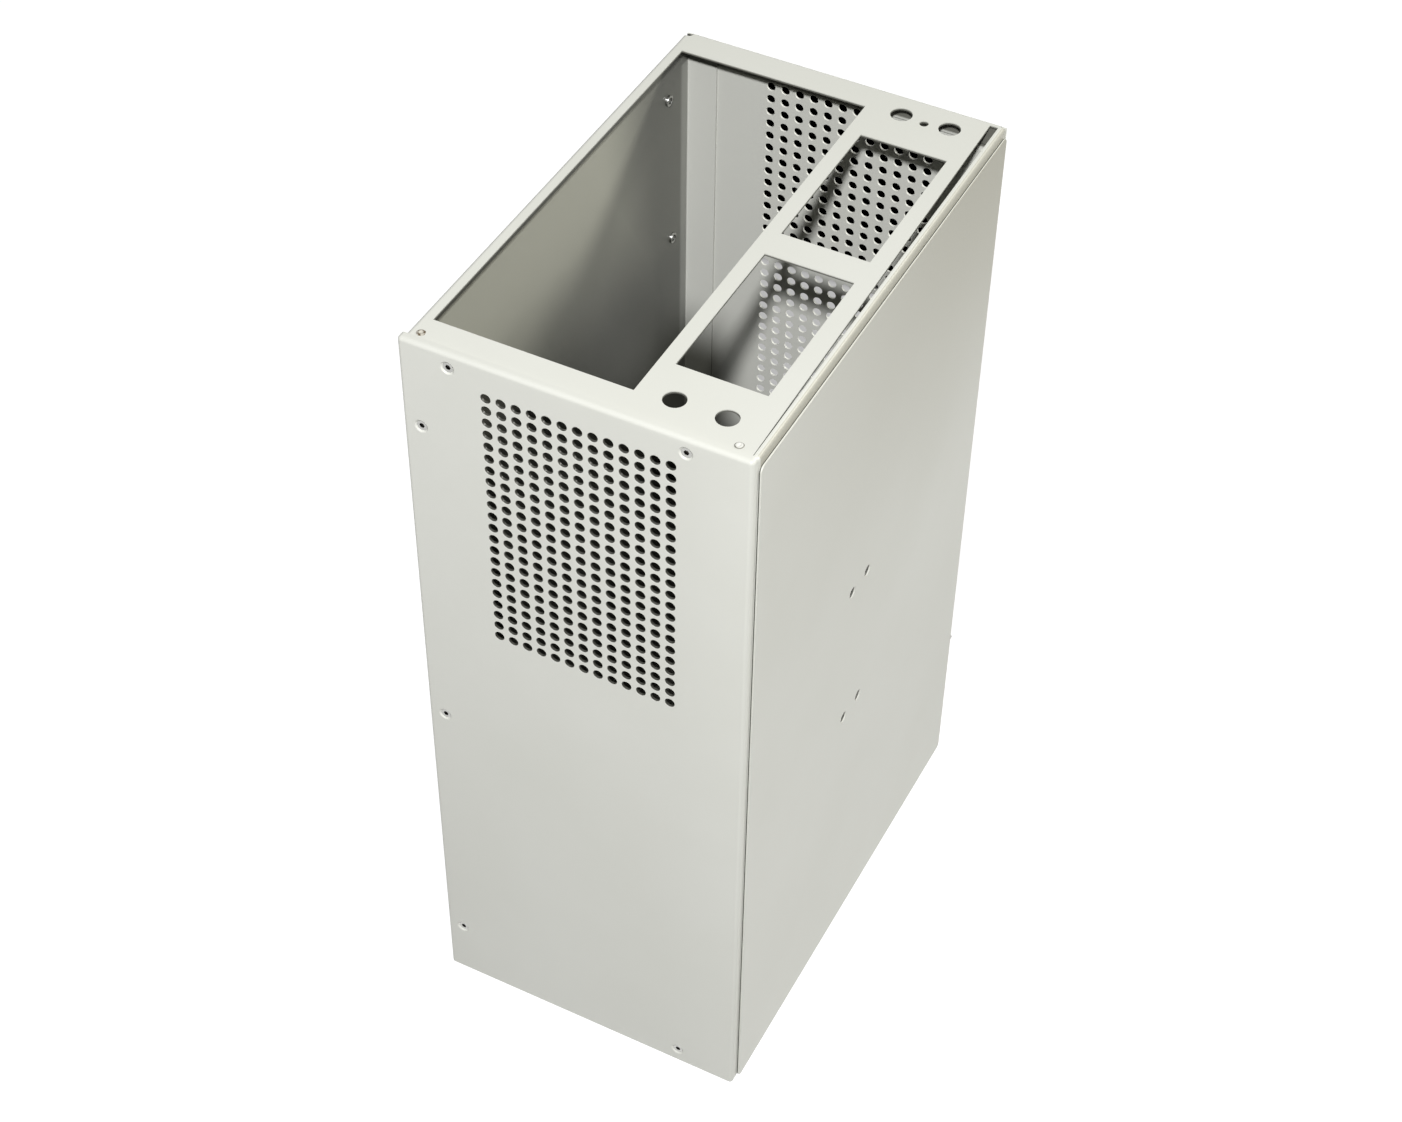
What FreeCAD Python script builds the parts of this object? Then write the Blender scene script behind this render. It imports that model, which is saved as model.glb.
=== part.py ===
import FreeCAD, Part
import math
import os

# A tall narrow sheet metal chassis, in millimetres.
# The origin is the centre of the underside. The perforated front panel faces -Y,
# the flat side cover faces +X, and the top with its cut-outs faces +Z.

# Overall size, over the front panel and the rear panel
width = 200.0
depth = 314.0
height = 517.0

# Sheet, folds and clearances between sheets
sheet = 1.5
inner_bend = 1.0
outer_bend = inner_bend + sheet
lap_gap = 0.1
side_gap = 0.2
edge_gap = 0.3
mitre_gap = 0.4
foot_gap = 0.3

# Front panel, a shallow tray that laps over the top and both sides
return_depth = 5.0
tray_corner = 1.8
mitre_relief = 0.8

# Perforation, whose holes are square with the area of the round punch
punch = 5.6
punch_sides = 4
front_columns = 13
front_rows = 22
front_first_x = 50.8
front_first_drop = 20.8
front_pitch_x = 8.725
front_pitch_z = 8.176
rear_columns = 12
rear_rows = 28
rear_first_x = 56.2
rear_first_drop = 22.9
rear_pitch_x = 9.05
rear_pitch_z = 8.48

# Wrapper, one sheet folded into left wall, top and right rail
wall_flange = 20.0
top_flange = 15.0
rail_height = 20.0
rim_width = 3.3
slot_front_width = 0.35
slot_rear_width = 4.9
slot_rear_land = 5.0
relief_diameter = 5.2

# Margins around the bay and the two windows in the top
bay_left_margin = 8.5
bay_front_margin = 21.5
bay_rear_margin = 21.0
divider_width = 9.0
window_width = 51.5
window_right_margin = 16.0
window_front_margin = 48.5
window_rear_margin = 46.5
crossbar_width = 19.0

# Gland holes in pairs, and the small hole between the rear pair
gland_diameter = 12.6
gland_spacing = 29.0
gland_pair_inset = 41.0
front_gland_inset = 24.8
rear_gland_inset = 19.0
pilot_diameter = 5.2
pilot_inset = 21.1

# Posts behind the right end of each panel
post_web = 25.0
post_flange = 25.0
post_gap = 0.1
tab_inset = 9.0
tab_width = 10.0
tab_depth = 14.0

# Bottom pan
pan_flange = 20.0

# Bracket under the left front corner
bracket_height = 34.0
bracket_width = 14.0
bracket_depth = 15.0

# Side cover
cover_front_margin = 6.2
cover_rear_margin = 2.5
cover_top_drop = 8.0
cover_corner = 3.5
bracket_hole = 7.5
bracket_hole_y = 143.7
bracket_hole_z = 257.3
bracket_spacing_y = 20.0
bracket_spacing_z = 105.0

# Countersunk panel screws and their hexagon weld nuts
screw_diameter = 4.0
screw_head = 7.5
screw_length = 8.0
screw_hole = 4.5
nut_bore_gap = 0.1
weld_nut_flats = 9.0
weld_nut_height = 3.5
top_screw_left = 29.3
top_screw_right = 36.5
top_screw_drop = 9.4
side_screw_left = 10.8
side_screw_drop = 56.0
middle_screw_z = 240.0
low_screw_z = 41.5
bottom_screw_right = 37.9
bottom_screw_z = 10.5
rear_screw_inset = 40.0
post_screw_inset = 12.5

# Studs on the cover, with plain hexagon nuts behind the post flanges
stud_length = 9.0
cover_nut_flats = 7.0
cover_nut_height = 3.2
stud_inset = 15.0
low_stud_z = 60.0
high_stud_drop = 45.0

# Corner rivets
rivet_head = 5.0
rivet_head_height = 0.8
rivet_shank = 3.2
rivet_tail = 4.0
rivet_front_inset = 9.7
left_rivet_inset = 8.7
right_rivet_inset = 12.5

# Clinch nuts in the left wall
clinch_diameter = 7.0
clinch_height = 1.6
clinch_bore = 4.0
high_clinch_inset = 28.0
high_clinch_drop = 33.5
low_clinch_inset = 22.5
low_clinch_drop = 136.5

# Earth stud on the rear
earth_inset = 8.5
earth_z = 98.0
earth_diameter = 8.0
earth_length = 13.5
earth_hole = 8.6
earth_washer_diameter = 16.0
earth_washer_thickness = 1.6
earth_nut_flats = 13.0
earth_nut_height = 6.5

# Small rounds that repeat have flat sides, to keep the model light
small_sides = 10

# Reference planes that the pieces share
left = -width / 2
right = width / 2
front = -depth / 2
rear = depth / 2
wall_outer = left + sheet + side_gap
wall_inner = wall_outer + sheet
wrapper_top = height - sheet - lap_gap
wrapper_under = wrapper_top - sheet
front_seat = front + sheet
rear_seat = rear - sheet
rail_low = wrapper_top - rail_height
post_front = front + return_depth + post_gap
pan_top = sheet
post_low = pan_top + outer_bend
cover_front = front + cover_front_margin
cover_rear = rear - cover_rear_margin
cover_top = height - cover_top_drop
window_right = right - window_right_margin
window_left = window_right - window_width
window_length = (depth - window_front_margin - window_rear_margin - crossbar_width) / 2
near_window_front = front + window_front_margin
far_window_front = near_window_front + window_length + crossbar_width
gland_x = right - gland_pair_inset
tab_right = right - tab_inset

along_x = FreeCAD.Vector(1, 0, 0)
along_y = FreeCAD.Vector(0, 1, 0)
along_z = FreeCAD.Vector(0, 0, 1)


def vec(x, y, z):
    return FreeCAD.Vector(x, y, z)


def block(x0, x1, y0, y1, z0, z1):
    return Part.makeBox(x1 - x0, y1 - y0, z1 - z0, vec(x0, y0, z0))


def rod(diameter, start, direction, length):
    return Part.makeCylinder(diameter / 2, length, start, direction)


# A straight or tapering bar with flat sides, its widths taken across the corners.
def sided_bar(sides, near_width, far_width, start, direction, length):
    spoke = along_x if abs(direction.z) > 0.5 else along_z
    across = direction.cross(spoke)
    rings = []
    for place, width in ((start, near_width), (start + direction * length, far_width)):
        points = []
        for step in range(sides + 1):
            angle = 2 * math.pi * step / sides
            points.append(place + (spoke * math.cos(angle) + across * math.sin(angle)) * (width / 2))
        rings.append(Part.makePolygon(points))
    return Part.makeLoft(rings, True, True)


def small_rod(diameter, start, direction, length):
    return sided_bar(small_sides, diameter, diameter, start, direction, length)


def small_cone(near_diameter, far_diameter, start, direction, length):
    return sided_bar(small_sides, near_diameter, far_diameter, start, direction, length)


# One sheet's thickness, from one point towards another.
def thickness_towards(start, end):
    return (end - start).normalize() * sheet


# Straight runs joined by square bends of the given radius.
def bent_edges(corners, radius):
    edges = []
    start = corners[0]
    for before, corner, after in zip(corners, corners[1:], corners[2:]):
        back = (before - corner).normalize() * radius
        ahead = (after - corner).normalize() * radius
        middle = corner + (back + ahead) * (1 - math.sqrt(0.5))
        edges.append(Part.LineSegment(start, corner + back).toShape())
        edges.append(Part.Arc(corner + back, middle, corner + ahead).toShape())
        start = corner + ahead
    edges.append(Part.LineSegment(start, corners[-1]).toShape())
    return edges


# A sheet folded at right angles, given the corners of its outer face, then swept.
def folded_sheet(corners, sweep):
    first, last = corners[:3], corners[-3:]
    inside = [first[0] + thickness_towards(first[1], first[2])]
    for before, corner, after in zip(corners, corners[1:], corners[2:]):
        inside.append(corner + thickness_towards(corner, before) + thickness_towards(corner, after))
    inside.append(last[2] + thickness_towards(last[1], last[0]))
    ends = [
        Part.LineSegment(corners[0], inside[0]).toShape(),
        Part.LineSegment(corners[-1], inside[-1]).toShape(),
    ]
    outline = bent_edges(corners, outer_bend) + ends + bent_edges(inside, inner_bend)
    return Part.Face(Part.Wire(Part.__sortEdges__(outline))).extrude(sweep)


# The edges of a shape whose middle lies at the given coordinates, None meaning any.
def edges_at(shape, x=None, y=None, z=None):
    found = []
    for edge in shape.Edges:
        middle = edge.CenterOfMass
        pairs = zip((x, y, z), (middle.x, middle.y, middle.z))
        if all(wanted is None or abs(wanted - value) < 1e-6 for wanted, value in pairs):
            found.append(edge)
    return found


def hexagon_nut(flats, thickness, start, direction, thread):
    corners = flats / math.cos(math.radians(30))
    body = sided_bar(6, corners, corners, start, direction, thickness)
    return body.cut(small_rod(thread + 2 * nut_bore_gap, start, direction, thickness))


def grid(first_x, first_drop, pitch_x, pitch_z, columns, rows):
    centres = []
    for row in range(rows):
        for column in range(columns):
            x = left + first_x + column * pitch_x
            z = height - first_drop - row * pitch_z
            centres.append((x, z))
    return centres


# The outline of one punched hole in a plate that faces along Y.
def punched_outline(x, y, z):
    corner_radius = punch / 2 * math.sqrt(2 * math.pi / punch_sides / math.sin(2 * math.pi / punch_sides))
    points = []
    for step in range(punch_sides + 1):
        angle = 2 * math.pi * (step + 0.5) / punch_sides
        points.append(vec(x + corner_radius * math.cos(angle), y, z + corner_radius * math.sin(angle)))
    return Part.makePolygon(points)


def front_holes():
    return grid(front_first_x, front_first_drop, front_pitch_x, front_pitch_z, front_columns, front_rows)


def rear_holes():
    return grid(rear_first_x, rear_first_drop, rear_pitch_x, rear_pitch_z, rear_columns, rear_rows)


# Where the panel screws go, as (x, z).
def front_screw_places():
    top_z = height - top_screw_drop
    side_x = left + side_screw_left
    return [
        (left + top_screw_left, top_z),
        (right - top_screw_right, top_z),
        (side_x, height - side_screw_drop),
        (side_x, middle_screw_z),
        (side_x, low_screw_z),
        (right - bottom_screw_right, bottom_screw_z),
    ]


def rear_screw_places():
    places = [(wall_outer + wall_flange / 2, middle_screw_z), (right - post_screw_inset, middle_screw_z)]
    for x in (left + rear_screw_inset, right - rear_screw_inset):
        places += [(x, height - top_screw_drop), (x, bottom_screw_z)]
    return places


# Where the cover's studs go, as (y, z).
def cover_stud_places():
    heights = (low_stud_z, rail_low - high_stud_drop)
    return [(y, z) for y in (post_front + stud_inset, rear_seat - stud_inset) for z in heights]


# Where the clinch nuts sit in the left wall, as (y, z).
def clinch_places():
    return [
        (rear - high_clinch_inset, height - high_clinch_drop),
        (rear - low_clinch_inset, height - low_clinch_drop),
    ]


# Clearance holes for the panel screws, drilled from an outer face inwards.
def screw_holes(places, outer_y, inwards):
    holes = []
    for x, z in places:
        holes.append(small_rod(screw_hole, vec(x, outer_y, z), inwards, sheet))
    return holes


def countersinks(places, outer_y, inwards):
    cones = []
    for x, z in places:
        start = vec(x, outer_y, z)
        cones.append(small_cone(screw_head, screw_head - 2 * sheet, start, inwards, sheet))
    return cones


def rivet_places():
    y = front + rivet_front_inset
    return {"left": vec(left + left_rivet_inset, y, 0), "right": vec(right - right_rivet_inset, y, 0)}


def rivet_hole(place):
    return small_rod(rivet_shank, vec(place.x, place.y, wrapper_under - sheet), along_z, 2 * sheet)


# The tapered gap between the top and the rail, open at the front.
def rail_slot():
    rim_x = right - rim_width
    slot_rear = rear - slot_rear_land
    points = [
        vec(rim_x, post_front, 0),
        vec(rim_x, slot_rear, 0),
        vec(rim_x - slot_rear_width, slot_rear, 0),
        vec(rim_x - slot_front_width, post_front, 0),
        vec(rim_x, post_front, 0),
    ]
    slot = Part.Face(Part.makePolygon(points)).extrude(along_z * (2 * sheet))
    slot.translate(along_z * (wrapper_under - sheet / 2))
    return slot


def top_cutouts():
    low, high = wrapper_under - sheet, wrapper_top + sheet
    bay_right = window_left - divider_width
    bay_front, bay_rear = front + bay_front_margin, rear - bay_rear_margin
    cutouts = [block(left + bay_left_margin, bay_right, bay_front, bay_rear, low, high)]
    for y in (near_window_front, far_window_front):
        cutouts.append(block(window_left, window_right, y, y + window_length, low, high))
    for y in (front + front_gland_inset, rear - rear_gland_inset):
        for x in (gland_x - gland_spacing / 2, gland_x + gland_spacing / 2):
            cutouts.append(rod(gland_diameter, vec(x, y, low), along_z, high - low))
    cutouts.append(rod(pilot_diameter, vec(gland_x, rear - pilot_inset, low), along_z, high - low))
    return cutouts


def make_wrapper():
    run_front = front_seat + outer_bend
    run_rear = rear_seat - outer_bend
    slot_x = right - rim_width - slot_front_width
    channel = folded_sheet(
        [
            vec(wall_outer, run_front, foot_gap),
            vec(wall_outer, run_front, wrapper_top),
            vec(right, run_front, wrapper_top),
            vec(right, run_front, rail_low),
        ],
        along_y * (run_rear - run_front),
    )
    flanges = []
    wall_flange_height = wrapper_top - top_flange - edge_gap - foot_gap
    top_flange_start = wall_outer + outer_bend
    for seat, run, top_end in (
        (front_seat, run_front + sheet, slot_x),
        (rear_seat, run_rear - sheet, right - outer_bend),
    ):
        flanges.append(
            folded_sheet(
                [
                    vec(wall_outer, run, foot_gap),
                    vec(wall_outer, seat, foot_gap),
                    vec(wall_outer + wall_flange, seat, foot_gap),
                ],
                along_z * wall_flange_height,
            )
        )
        flanges.append(
            folded_sheet(
                [
                    vec(top_flange_start, run, wrapper_top),
                    vec(top_flange_start, seat, wrapper_top),
                    vec(top_flange_start, seat, wrapper_top - top_flange),
                ],
                along_x * (top_end - top_flange_start),
            )
        )
    body = channel.fuse(flanges).removeSplitter()
    rail_end = block(slot_x, right, front, post_front, rail_low, wrapper_top)
    relief = vec(wall_outer + outer_bend, rear_seat - outer_bend, wrapper_top - outer_bend)
    cuts = [rail_end, rail_slot(), rod(relief_diameter, relief, along_z, outer_bend)]
    cuts += top_cutouts()
    cuts += screw_holes(front_screw_places(), front_seat, along_y)
    cuts += screw_holes(rear_screw_places(), rear_seat, -along_y)
    cuts += [rivet_hole(place) for place in rivet_places().values()]
    for y, z in clinch_places():
        cuts.append(small_rod(clinch_bore, vec(wall_outer, y, z), along_x, sheet))
    return body.cut(cuts)


def make_front_panel():
    back = front + return_depth
    tray = block(left, right, front, back, foot_gap, height)
    bends = edges_at(tray, x=left, y=front) + edges_at(tray, x=right, y=front)
    bends += edges_at(tray, y=front, z=height)
    tray = tray.makeFillet(outer_bend, bends)
    hollow = block(left + sheet, right - sheet, front_seat, back + sheet, foot_gap - sheet, height - sheet)
    bends = edges_at(hollow, x=left + sheet, y=front_seat) + edges_at(hollow, x=right - sheet, y=front_seat)
    bends += edges_at(hollow, y=front_seat, z=height - sheet)
    hollow = hollow.makeFillet(inner_bend, bends)
    cuts = [hollow]
    for side in (left, right):
        cuts += mitre(side)
        cuts.append(low_corner_trim(side))
    cuts += countersinks(front_screw_places(), front, along_y)
    for x, z in front_holes():
        cuts.append(Part.Face(punched_outline(x, front, z)).extrude(along_y * sheet))
    return tray.cut(cuts)


# The open corner between the top return and a side return, with its relief hole.
def mitre(side_x):
    bend_end = front + outer_bend
    reach = 2 * sheet * math.sqrt(2)
    back = front + return_depth + sheet
    gap = block(-mitre_gap / 2, mitre_gap / 2, bend_end, back, -reach, reach)
    gap.rotate(vec(0, 0, 0), along_y, math.copysign(45, side_x))
    gap.translate(vec(side_x, 0, height))
    relief = rod(2 * mitre_relief, vec(side_x, bend_end - mitre_relief, height), along_y, 2 * mitre_relief)
    return [gap, relief]


# What is cut away to round a lower corner of the tray.
def low_corner_trim(side_x):
    inner_x = side_x - math.copysign(tray_corner, side_x)
    low, high = min(side_x, inner_x), max(side_x, inner_x)
    square = block(low, high, front, front + return_depth, foot_gap, foot_gap + tray_corner)
    centre = vec(inner_x, front, foot_gap + tray_corner)
    return square.cut(rod(2 * tray_corner, centre, along_y, return_depth))


def make_rear_panel():
    panel_top = wrapper_top - outer_bend
    outline = Part.makePolygon(
        [
            vec(wall_outer, rear_seat, foot_gap),
            vec(right, rear_seat, foot_gap),
            vec(right, rear_seat, panel_top),
            vec(wall_outer, rear_seat, panel_top),
            vec(wall_outer, rear_seat, foot_gap),
        ]
    )
    holes = [punched_outline(x, rear_seat, z) for x, z in rear_holes()]
    plate = Part.makeFace([outline] + holes, "Part::FaceMakerBullseye").extrude(along_y * sheet)
    cuts = countersinks(rear_screw_places(), rear, -along_y)
    cuts.append(small_rod(earth_hole, earth_point(rear_seat), along_y, sheet))
    return plate.cut(cuts)


def make_bottom_pan():
    run_front = front_seat + outer_bend
    run_rear = rear_seat - outer_bend
    tray = folded_sheet(
        [
            vec(wall_inner, run_front, pan_flange),
            vec(wall_inner, run_front, 0),
            vec(right, run_front, 0),
            vec(right, run_front, pan_flange),
        ],
        along_y * (run_rear - run_front),
    )
    flange_left = wall_outer + wall_flange + edge_gap
    front_flange_right = right - rim_width - slot_front_width
    rear_flange_right = right - post_web - edge_gap
    flanges = []
    for seat, run, flange_right in (
        (front_seat, run_front + sheet, front_flange_right),
        (rear_seat, run_rear - sheet, rear_flange_right),
    ):
        flanges.append(
            folded_sheet(
                [vec(flange_left, run, 0), vec(flange_left, seat, 0), vec(flange_left, seat, pan_flange)],
                along_x * (flange_right - flange_left),
            )
        )
    pan = tray.fuse(flanges).removeSplitter()
    post_front_end = post_front + post_flange + edge_gap
    post_rear_end = rear_seat - post_flange - edge_gap
    cuts = [
        block(right - sheet - side_gap, right, front, post_front, 0, pan_top),
        block(right - outer_bend, right, front, post_front_end, pan_top, pan_flange),
        block(right - outer_bend, right, post_rear_end, rear, pan_top, pan_flange),
    ]
    cuts += screw_holes(front_screw_places(), front_seat, along_y)
    cuts += screw_holes(rear_screw_places(), rear_seat, -along_y)
    return pan.cut(cuts)


# A post's web and side flange, its outer corner at the given web plane.
def post_angle(web_y, inwards, top):
    return folded_sheet(
        [
            vec(right - post_web, web_y, post_low),
            vec(right, web_y, post_low),
            vec(right, web_y + inwards * post_flange, post_low),
        ],
        along_z * (top - post_low),
    )


# A tab bent from a post's web, which lies flat against the pan or the top.
def post_tab(web_y, inwards, tab_z, web_end):
    x = tab_right - tab_width
    corners = [vec(x, web_y, web_end), vec(x, web_y, tab_z), vec(x, web_y + inwards * tab_depth, tab_z)]
    return folded_sheet(corners, along_x * tab_width)


def stud_holes():
    holes = []
    for y, z in cover_stud_places():
        holes.append(small_rod(screw_hole, vec(right - sheet, y, z), along_x, sheet))
    return holes


def make_front_post():
    web_top = wrapper_under - outer_bend
    upper_web = block(
        right - post_web, right - sheet, post_front, post_front + sheet, rail_low - outer_bend, web_top
    )
    pieces = [
        upper_web,
        post_tab(post_front, 1, pan_top, post_low + sheet),
        post_tab(post_front, 1, wrapper_under, web_top - sheet),
    ]
    post = post_angle(post_front, 1, rail_low - edge_gap).fuse(pieces).removeSplitter()
    return post.cut(stud_holes() + [rivet_hole(rivet_places()["right"])])


def make_rear_post():
    foot = post_tab(rear_seat, -1, pan_top, post_low + sheet)
    post = post_angle(rear_seat, -1, rail_low - edge_gap).fuse([foot]).removeSplitter()
    return post.cut(stud_holes() + screw_holes(rear_screw_places(), rear_seat, -along_y))


def make_corner_bracket():
    x = wall_inner + outer_bend
    y = front_seat + sheet
    low = wrapper_under - bracket_height
    corners = [vec(x, y, low), vec(x, y, wrapper_under), vec(x, y + bracket_depth, wrapper_under)]
    bracket = folded_sheet(corners, along_x * bracket_width)
    return bracket.cut(rivet_hole(rivet_places()["left"]))


def make_right_cover():
    plate = block(right, right + sheet, cover_front, cover_rear, foot_gap, cover_top)
    corners = []
    for y in (cover_front, cover_rear):
        for z in (foot_gap, cover_top):
            corners += edges_at(plate, y=y, z=z)
    plate = plate.makeFillet(cover_corner, corners)
    holes = []
    for side_y in (-0.5, 0.5):
        for side_z in (-0.5, 0.5):
            y = front + bracket_hole_y + side_y * bracket_spacing_y
            z = bracket_hole_z + side_z * bracket_spacing_z
            holes.append(rod(bracket_hole, vec(right, y, z), along_x, sheet))
    return plate.cut(holes)


def make_screws(places, outer_y, inwards):
    head_depth = (screw_head - screw_diameter) / 2
    screws = []
    for x, z in places:
        face = vec(x, outer_y, z)
        head = small_cone(screw_head, screw_diameter, face, inwards, head_depth)
        neck = face + inwards * head_depth
        shank = small_rod(screw_diameter, neck, inwards, screw_length - head_depth)
        screws.append(head.fuse(shank))
    return Part.makeCompound(screws)


def make_weld_nuts(places, seat_y, inwards):
    nuts = []
    for x, z in places:
        seat = vec(x, seat_y, z)
        nuts.append(hexagon_nut(weld_nut_flats, weld_nut_height, seat, inwards, screw_diameter))
    return Part.makeCompound(nuts)


def make_cover_studs():
    places = [vec(right, y, z) for y, z in cover_stud_places()]
    return Part.makeCompound([small_rod(screw_diameter, place, -along_x, stud_length) for place in places])


def make_cover_nuts():
    nuts = []
    for y, z in cover_stud_places():
        seat = vec(right - sheet, y, z)
        nuts.append(hexagon_nut(cover_nut_flats, cover_nut_height, seat, -along_x, screw_diameter))
    return Part.makeCompound(nuts)


def make_rivet(place):
    head_base = vec(place.x, place.y, wrapper_top)
    tail_base = vec(place.x, place.y, wrapper_top - 2 * sheet)
    head = small_cone(rivet_head, rivet_head - 2 * rivet_head_height, head_base, along_z, rivet_head_height)
    shank = small_rod(rivet_shank, tail_base, along_z, 2 * sheet)
    tail = small_rod(rivet_tail, tail_base, -along_z, rivet_head_height)
    return head.fuse([shank, tail])


def make_clinch_nuts():
    nuts = []
    for y, z in clinch_places():
        seat = vec(wall_inner, y, z)
        body = small_rod(clinch_diameter, seat, along_x, clinch_height)
        nuts.append(body.cut(small_rod(clinch_bore, seat, along_x, clinch_height)))
    return Part.makeCompound(nuts)


def earth_point(y):
    return vec(right - earth_inset, y, earth_z)


def make_earth_stud():
    return small_rod(earth_diameter, earth_point(rear_seat), along_y, earth_length)


def make_earth_washer():
    washer = small_rod(earth_washer_diameter, earth_point(rear), along_y, earth_washer_thickness)
    bore = earth_diameter + 2 * nut_bore_gap
    return washer.cut(small_rod(bore, earth_point(rear), along_y, earth_washer_thickness))


def make_earth_nut():
    seat = earth_point(rear + earth_washer_thickness)
    return hexagon_nut(earth_nut_flats, earth_nut_height, seat, along_y, earth_diameter)


os.makedirs("parts", exist_ok=True)
nodes = {
    "wrapper": make_wrapper(),
    "front_panel": make_front_panel(),
    "rear_panel": make_rear_panel(),
    "bottom_pan": make_bottom_pan(),
    "front_post": make_front_post(),
    "rear_post": make_rear_post(),
    "corner_bracket": make_corner_bracket(),
    "right_cover": make_right_cover(),
    "front_screws": make_screws(front_screw_places(), front, along_y),
    "rear_screws": make_screws(rear_screw_places(), rear, -along_y),
    "front_weld_nuts": make_weld_nuts(front_screw_places(), front_seat + sheet, along_y),
    "rear_weld_nuts": make_weld_nuts(rear_screw_places(), rear_seat - sheet, -along_y),
    "cover_studs": make_cover_studs(),
    "cover_nuts": make_cover_nuts(),
    "left_corner_rivet": make_rivet(rivet_places()["left"]),
    "right_corner_rivet": make_rivet(rivet_places()["right"]),
    "clinch_nuts": make_clinch_nuts(),
    "earth_stud": make_earth_stud(),
    "earth_washer": make_earth_washer(),
    "earth_nut": make_earth_nut(),
}
for name, shape in nodes.items():
    shape.exportStep("parts/" + name + ".step")
    print(name, len(shape.Solids), round(shape.Volume, 1), shape.isValid())
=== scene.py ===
import math

import bmesh
import bpy
from mathutils import Euler, Matrix, Vector


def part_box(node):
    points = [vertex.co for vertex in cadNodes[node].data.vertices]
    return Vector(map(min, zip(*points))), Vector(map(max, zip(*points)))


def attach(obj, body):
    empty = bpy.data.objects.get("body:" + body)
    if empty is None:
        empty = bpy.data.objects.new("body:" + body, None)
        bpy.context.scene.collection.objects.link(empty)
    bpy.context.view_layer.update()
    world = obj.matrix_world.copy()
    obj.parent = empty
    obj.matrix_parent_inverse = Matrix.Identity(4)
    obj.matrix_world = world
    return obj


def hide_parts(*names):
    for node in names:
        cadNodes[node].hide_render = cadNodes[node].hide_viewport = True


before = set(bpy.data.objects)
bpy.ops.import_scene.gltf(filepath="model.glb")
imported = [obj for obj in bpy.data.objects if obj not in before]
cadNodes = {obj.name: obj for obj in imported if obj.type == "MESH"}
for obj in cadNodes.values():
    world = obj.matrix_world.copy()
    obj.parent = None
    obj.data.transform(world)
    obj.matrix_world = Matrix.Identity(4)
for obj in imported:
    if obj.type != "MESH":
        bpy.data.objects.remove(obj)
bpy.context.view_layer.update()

scene = bpy.context.scene
print("stage 1: frame loaded,", len(cadNodes), "nodes")


# a node's output, on which a sum or product adds a Math node
class Wire:
    def __init__(self, tree, socket):
        self.tree = tree
        self.socket = socket

    def maths(self, operation, first, second):
        return self.tree.node("ShaderNodeMath", {"operation": operation}, {0: first, 1: second})

    def __add__(self, other):
        return self.maths("ADD", self, other)

    def __radd__(self, other):
        return self.maths("ADD", other, self)

    def __sub__(self, other):
        return self.maths("SUBTRACT", self, other)

    def __rsub__(self, other):
        return self.maths("SUBTRACT", other, self)

    def __mul__(self, other):
        return self.maths("MULTIPLY", self, other)

    def __rmul__(self, other):
        return self.maths("MULTIPLY", other, self)


# a shader or geometry tree that is filled by one method
class Tree:
    def __init__(self, tree):
        self.tree = tree
        tree.nodes.clear()

    def node(self, kind, settings=None, sockets=None, output=0):
        made = self.tree.nodes.new(kind)
        for key, value in (settings or {}).items():
            if key == "stops":
                while len(made.color_ramp.elements) < len(value):
                    made.color_ramp.elements.new(0.5)
                for element, (place, shade) in zip(made.color_ramp.elements, value):
                    element.position = place
                    element.color = (shade, shade, shade, 1.0)
            else:
                setattr(made, key, value)
        for key, value in (sockets or {}).items():
            for item in value if isinstance(value, list) else [value]:
                if isinstance(item, Wire):
                    self.tree.links.new(item.socket, made.inputs[key])
                else:
                    made.inputs[key].default_value = item
        return Wire(self, made.outputs[output]) if made.outputs else None


def newMaterial(name):
    material = bpy.data.materials.new(name)
    material.use_nodes = True
    return material, Tree(material.node_tree)


def objectNoise(tree, size, detail):
    place = tree.node("ShaderNodeTexCoord", output="Object")
    return tree.node("ShaderNodeTexNoise", {}, {"Vector": place, "Scale": 1.0 / size, "Detail": detail})


# 1 where a value is past the second edge, 0 before the first, with a soft step between
def fade(tree, value, edges):
    return tree.node(
        "ShaderNodeMapRange",
        {"interpolation_type": "SMOOTHSTEP"},
        {"Value": value, "From Min": edges[0], "From Max": edges[1]},
    )


def objectPlace(tree):
    place = tree.node("ShaderNodeTexCoord", output="Object")
    return [tree.node("ShaderNodeSeparateXYZ", {}, {0: place}, output=axis) for axis in "XYZ"]


def absolute(tree, value):
    return tree.node("ShaderNodeMath", {"operation": "ABSOLUTE"}, {0: value})


def larger(first, second):
    return first.maths("MAXIMUM", first, second)


# 1 within all the limits of a zone, each of which names an axis and its two edges
def zoneMask(tree, axes, limits):
    return math.prod(fade(tree, axes[axis], edges) for axis, edges in limits)


def blendColour(tree, factor, first, second):
    colours = [(*colour, 1.0) if isinstance(colour, tuple) else colour for colour in (first, second)]
    return tree.node(
        "ShaderNodeMix", {"data_type": "RGBA"}, {0: factor, 6: colours[0], 7: colours[1]}, output=2
    )


def bumped(tree, height, depth):
    return tree.node("ShaderNodeBump", {}, {"Strength": 1.0, "Distance": depth, "Height": height})


def surface(tree, sockets):
    skin = tree.node("ShaderNodeBsdfPrincipled", {}, sockets)
    tree.node("ShaderNodeOutputMaterial", {}, {"Surface": skin})


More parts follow.
